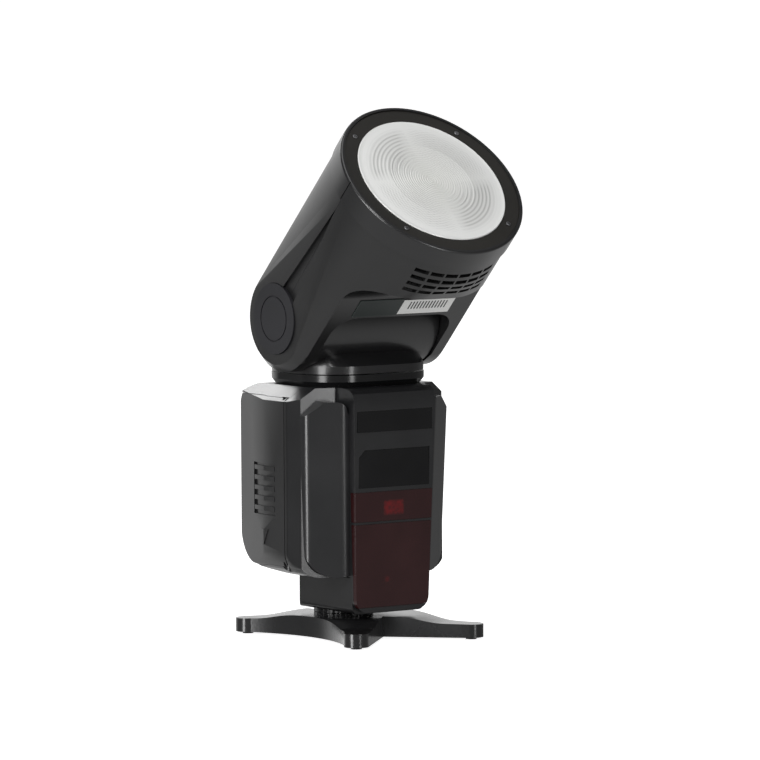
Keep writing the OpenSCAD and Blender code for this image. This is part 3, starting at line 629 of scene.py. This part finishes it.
RED = red_window_material()
LENS = lens_material()
GLASS = tube_material()
SCREEN = screen_material()
PLATE = film_material("label_dark", (0.012, 0.020, 0.018), (0.05, 0.065, 0.06),
                      *head_span("rating_plate"), False)
STICKER = film_material("label_white", (0.92, 0.92, 0.90), (0.06, 0.06, 0.06),
                        *head_span("blank_sticker"), True)


# ---------------------------------------------------------------- head

def finish_head():
    """Rounded shells, ring, bezel and pivot caps."""
    rounded("head_upper_shell", "head", SHELL, 0.35 * MM)
    rounded("head_lower_shell", "head", SHELL, 0.35 * MM)
    rounded("front_ring", "head", SATIN, 0.2 * MM)
    rounded("lens_bezel", "head", BEZEL, 0.2 * MM)
    rounded("pivot_cap_left", "head", PIVOT, 0.3 * MM)
    rounded("pivot_cap_right", "head", PIVOT, 0.3 * MM)
    paint(PLATE, "rating_plate")
    paint(STICKER, "blank_sticker")
    paint(MIRROR, "reflector")
    paint(GLASS, "flash_tube")
    paint(LAMP, "modelling_lamp")
    paint(STEEL, "magnet_ring")
    paint(COPPER, "trigger_coil")


def fresnel_lens():
    """Lens disc whose face is cut with concentric steps inside a smooth rim."""
    radius = size("fresnel_lens").x / 2
    base = along_lens("fresnel_lens", 0)
    top = along_lens("fresnel_lens", 1)
    rim = 0.8 * MM
    pitch = 1.0 * MM
    depth = 0.14 * MM
    turns = int((radius - rim) / pitch)
    outline = [Vector((0, 0, top - depth))]
    for i in range(turns):
        inner = i * pitch
        outline.append(Vector((inner + 0.82 * pitch, 0,
                               top - depth * 0.25 - depth * 0.6 * (i + 1) / turns)))
        outline.append(Vector((inner + pitch, 0, top - depth)))
    outline += [Vector((radius - rim, 0, top - 0.02 * MM)), Vector((radius - 0.25 * MM, 0, top)),
                Vector((radius, 0, top - 0.25 * MM)), Vector((radius, 0, base)), Vector((0, 0, base))]
    data = bpy.data.meshes.new("fresnel_face")
    data.from_pydata(outline, [(i, i + 1) for i in range(len(outline) - 1)], [])
    piece = bpy.data.objects.new("fresnel_face", data)
    bpy.context.scene.collection.objects.link(piece)
    choose(piece)
    bpy.ops.object.mode_set(mode="EDIT")
    bpy.ops.mesh.select_all(action="SELECT")
    bpy.ops.mesh.spin(steps=144, angle=2 * math.pi, center=(0, 0, 0), axis=(0, 0, 1))
    bpy.ops.mesh.select_all(action="SELECT")
    bpy.ops.mesh.remove_doubles(threshold=1e-6)
    bpy.ops.mesh.normals_make_consistent(inside=False)
    bpy.ops.object.mode_set(mode="OBJECT")
    settle(piece, HEAD_PLACE)
    smooth(piece, 20)
    finish_piece(piece, "head", LENS, ("fresnel_lens",))


SCREW_RADIUS = 1.0 * MM
SCREW_HEIGHT = 0.28 * MM
SCREW_SEAT_RADIUS = 1.15 * MM


def bezel_screw():
    """One low-domed screw with a cross recess, standing on the origin."""
    deselect()
    bpy.ops.mesh.primitive_cylinder_add(vertices=32, radius=SCREW_RADIUS, depth=SCREW_HEIGHT,
                                        location=(0, 0, SCREW_HEIGHT / 2))
    head = bpy.context.object
    bevel = head.modifiers.new("dome", "BEVEL")
    bevel.width = 0.14 * MM
    bevel.segments = 3
    bevel.limit_method = "ANGLE"
    apply_all(head)
    for turn in (0, 90):
        deselect()
        bpy.ops.mesh.primitive_cube_add(size=1, location=(0, 0, 0.24 * MM),
                                        rotation=(0, 0, math.radians(turn)))
        cutter = bpy.context.object
        cutter.scale = (1.35 * MM, 0.32 * MM, 0.3 * MM)
        settle(cutter)
        cut = head.modifiers.new("cross", "BOOLEAN")
        cut.object = cutter
        cut.operation = "DIFFERENCE"
        apply_all(head)
        bpy.data.objects.remove(cutter, do_unlink=True)
    return head


def bezel_screws():
    """Four screws round the bezel."""
    spread = size("bezel_screws").x / 2 - SCREW_SEAT_RADIUS
    ring = spread / math.cos(math.radians(45))
    seat = along_lens("bezel_screws", 1) - SCREW_HEIGHT
    first = bezel_screw()
    for i in range(4):
        screw = first if i == 3 else first.copy()
        if i < 3:
            screw.data = first.data.copy()
            bpy.context.scene.collection.objects.link(screw)
        turn = math.radians(45 + 90 * i)
        spin = Matrix.Rotation(math.radians(20 + 37 * i), 4, "Z")
        place = HEAD_PLACE @ Matrix.Translation((ring * math.cos(turn), ring * math.sin(turn), seat)) @ spin
        settle(screw, place)
        screw.name = f"bezel_screw_{i + 1}"
        smooth(screw, 30)
        finish_piece(screw, "head", DARK_STEEL, ("bezel_screws",))


# ---------------------------------------------------------------- neck and body

def finish_neck():
    """Neck, collar and the swivel parts."""
    rounded("neck_housing", "neck", SATIN, 0.5 * MM)
    rounded("swivel_collar", "flash_body", COLLAR, 0.6 * MM)
    paint(STEEL, "tilt_axle", "detent_spring", "swivel_retainer")
    paint(BRASS, "detent_wheel")
    paint(DIAL, "swivel_post")


def finish_body():
    """Casings, windows, door, plates and the inner parts."""
    rounded("front_casing", "flash_body", GRIP, 0.5 * MM)
    rounded("rear_casing", "flash_body", SHELL, 0.5 * MM)
    rounded("foot_block", "flash_body", SATIN, 0.6 * MM)
    rounded("battery_door", "door_leaf", SHELL, 0.25 * MM)
    rounded("name_plate", "flash_body", GLOSS, 0.12 * MM)
    rounded("front_window", "flash_body", GLOSS, 0.1 * MM)
    rounded("red_window_upper", "flash_body", RED, 0.3 * MM)
    rounded("red_window_lower", "flash_body", RED, 0.3 * MM)
    rounded("port_cover", "port_flap", RUBBER, 0.3 * MM)
    paint(RED_LENS, "focus_lamp")
    paint(SENSOR, "infrared_sensor")
    paint(GREEN, "main_board")
    paint(BLUE, "main_capacitor")
    paint(CELL, "battery_pack")
    paint(BRASS, "battery_contacts", "contact_pins", "tripod_insert")
    paint(STEEL, "case_screws", "door_hinge_pin", "shoe_foot")
    paint(RUBBER, "socket_block")


def finish_controls():
    """Rear panel, display, keys, dial and switch."""
    rounded("control_panel", "flash_body", GLOSS, 0.25 * MM)
    rounded("display_bezel", "flash_body", GLOSS, 0.2 * MM)
    paint(SCREEN, "display_screen")
    for i in range(1, 5):
        rounded(f"function_button_{i}", f"function_key_{i}", KEYS, 0.35 * MM)
    for key in ("mode", "menu", "test", "set"):
        rounded(f"{key}_button", f"{key}_key", KEYS, 0.4 * MM)
    rounded("power_switch", "power_slider", KEYS, 0.25 * MM)
    paint(DIAL, "control_dial")


# ---------------------------------------------------------------- stand

def finish_stand():
    """Stand, its feet and the lock ring."""
    rounded("stand_base", "stand", STAND, 0.5 * MM)
    paint(RUBBER, "stand_feet")
    paint(DIAL, "lock_ring")


# ---------------------------------------------------------------- studio

CAMERA_TARGET = Vector((8.81, -13.18, 98.97)) * MM
CAMERA_AZIMUTH = 35.025
CAMERA_PITCH = 4.37
CAMERA_ROLL = -0.339
CAMERA_DISTANCE = 2407.89 * MM
CAMERA_LENS = 294.37


def view_direction():
    """The way the camera looks."""
    a = math.radians(CAMERA_AZIMUTH)
    e = math.radians(CAMERA_PITCH)
    return Vector((math.sin(a) * math.cos(e), math.cos(a) * math.cos(e), -math.sin(e)))


SOFTBOXES = (  # name, place, width and height in metres, watts
    ("key", (-1.1, -1.2, 1.5), 0.5, 0.5, 10.5),
    ("top", (0.1, -0.1, 1.6), 0.9, 0.9, 4.5),
    ("left_strip", (-1.7, -0.45, 0.4), 0.6, 1.7, 26),
    ("front_strip", (0.1, -2.0, 0.45), 0.35, 1.4, 10),
    ("back_strip", (0.1, 1.5, 1.1), 1.3, 0.35, 7),
)


def camera():
    """Long lens, a little above the object, in front and to its left."""
    data = bpy.data.cameras.new("studio_camera")
    data.lens = CAMERA_LENS
    data.sensor_width = 36
    data.clip_start = 0.1
    data.clip_end = 20
    made = bpy.data.objects.new("studio_camera", data)
    bpy.context.scene.collection.objects.link(made)
    look = view_direction()
    turn = look.to_track_quat("-Z", "Y").to_matrix().to_4x4()
    roll = Matrix.Rotation(math.radians(CAMERA_ROLL), 4, "Z")
    made.matrix_world = Matrix.Translation(CAMERA_TARGET - look * CAMERA_DISTANCE) @ turn @ roll
    bpy.context.scene.camera = made


def floor():
    """Plain pale floor that takes shadows but throws no light back on the piece."""
    deselect()
    bpy.ops.mesh.primitive_plane_add(size=12, location=(0, 0, -0.02 * MM))
    made = bpy.context.object
    made.name = "floor"
    material, _, shader, _ = new_material("pale_floor")
    shader.inputs["Base Color"].default_value = (0.8, 0.8, 0.8, 1)
    shader.inputs["Roughness"].default_value = 0.7
    shader.inputs["Specular IOR Level"].default_value = 0.1
    shader.inputs["Emission Color"].default_value = (1, 1, 1, 1)
    shader.inputs["Emission Strength"].default_value = 0.88
    made.data.materials.append(material)
    made.visible_glossy = False
    made.visible_diffuse = False


def softbox(name, place, width, height, watts, aim=(0, 0, 0.1)):
    """A soft rectangular lamp that faces a point."""
    data = bpy.data.lights.new(name, "AREA")
    data.shape = "RECTANGLE"
    data.size = width
    data.size_y = height
    data.energy = watts
    made = bpy.data.objects.new(name, data)
    bpy.context.scene.collection.objects.link(made)
    made.location = place
    made.rotation_euler = (Vector(aim) - Vector(place)).to_track_quat("-Z", "Y").to_euler()
    made.visible_camera = False
    return made


def surround():
    """White to the camera; as light it is bright behind the piece, softer from below and dim elsewhere."""
    world = bpy.data.worlds.new("studio")
    bpy.context.scene.world = world
    world.use_nodes = True
    tree = world.node_tree
    tree.nodes.clear()
    out = node(tree, "ShaderNodeOutputWorld")
    seen = node(tree, "ShaderNodeBackground")
    seen.inputs["Color"].default_value = (1, 1, 1, 1)
    seen.inputs["Strength"].default_value = 1.05
    light = node(tree, "ShaderNodeBackground")
    light.inputs["Color"].default_value = (1, 1, 1, 1)
    path = node(tree, "ShaderNodeLightPath")
    choice = node(tree, "ShaderNodeMixShader")
    place = node(tree, "ShaderNodeTexCoord")
    toward = node(tree, "ShaderNodeVectorMath", operation="DOT_PRODUCT")
    toward.inputs[1].default_value = Vector((0.2, 0.98, 0.1)).normalized()
    lobe = node(tree, "ShaderNodeMapRange", interpolation_type="SMOOTHSTEP")
    lobe.inputs["From Min"].default_value = 0.70
    lobe.inputs["From Max"].default_value = 0.92
    lobe.inputs["To Min"].default_value = 0.13
    lobe.inputs["To Max"].default_value = 0.85
    link = tree.links.new
    link(place.outputs["Generated"], toward.inputs[0])
    link(toward.outputs["Value"], lobe.inputs["Value"])
    parts = node(tree, "ShaderNodeSeparateXYZ")
    link(place.outputs["Generated"], parts.inputs["Vector"])
    below = node(tree, "ShaderNodeMapRange", interpolation_type="SMOOTHSTEP")
    below.inputs["From Min"].default_value = 0.0
    below.inputs["From Max"].default_value = -0.5
    below.inputs["To Max"].default_value = 0.42
    link(parts.outputs["Z"], below.inputs["Value"])
    link(combine(tree, "ADD", lobe.outputs["Result"], below.outputs["Result"]), light.inputs["Strength"])
    link(path.outputs["Is Camera Ray"], choice.inputs["Fac"])
    link(light.outputs["Background"], choice.inputs[1])
    link(seen.outputs["Background"], choice.inputs[2])
    link(choice.outputs["Shader"], out.inputs["Surface"])


def studio():
    """Camera, floor, surround and lamps."""
    camera()
    floor()
    surround()
    for row in SOFTBOXES:
        softbox(*row)
    bpy.context.scene.view_settings.view_transform = "Standard"


studio()
finish_head()
fresnel_lens()
bezel_screws()
finish_neck()
finish_body()
finish_controls()
finish_stand()
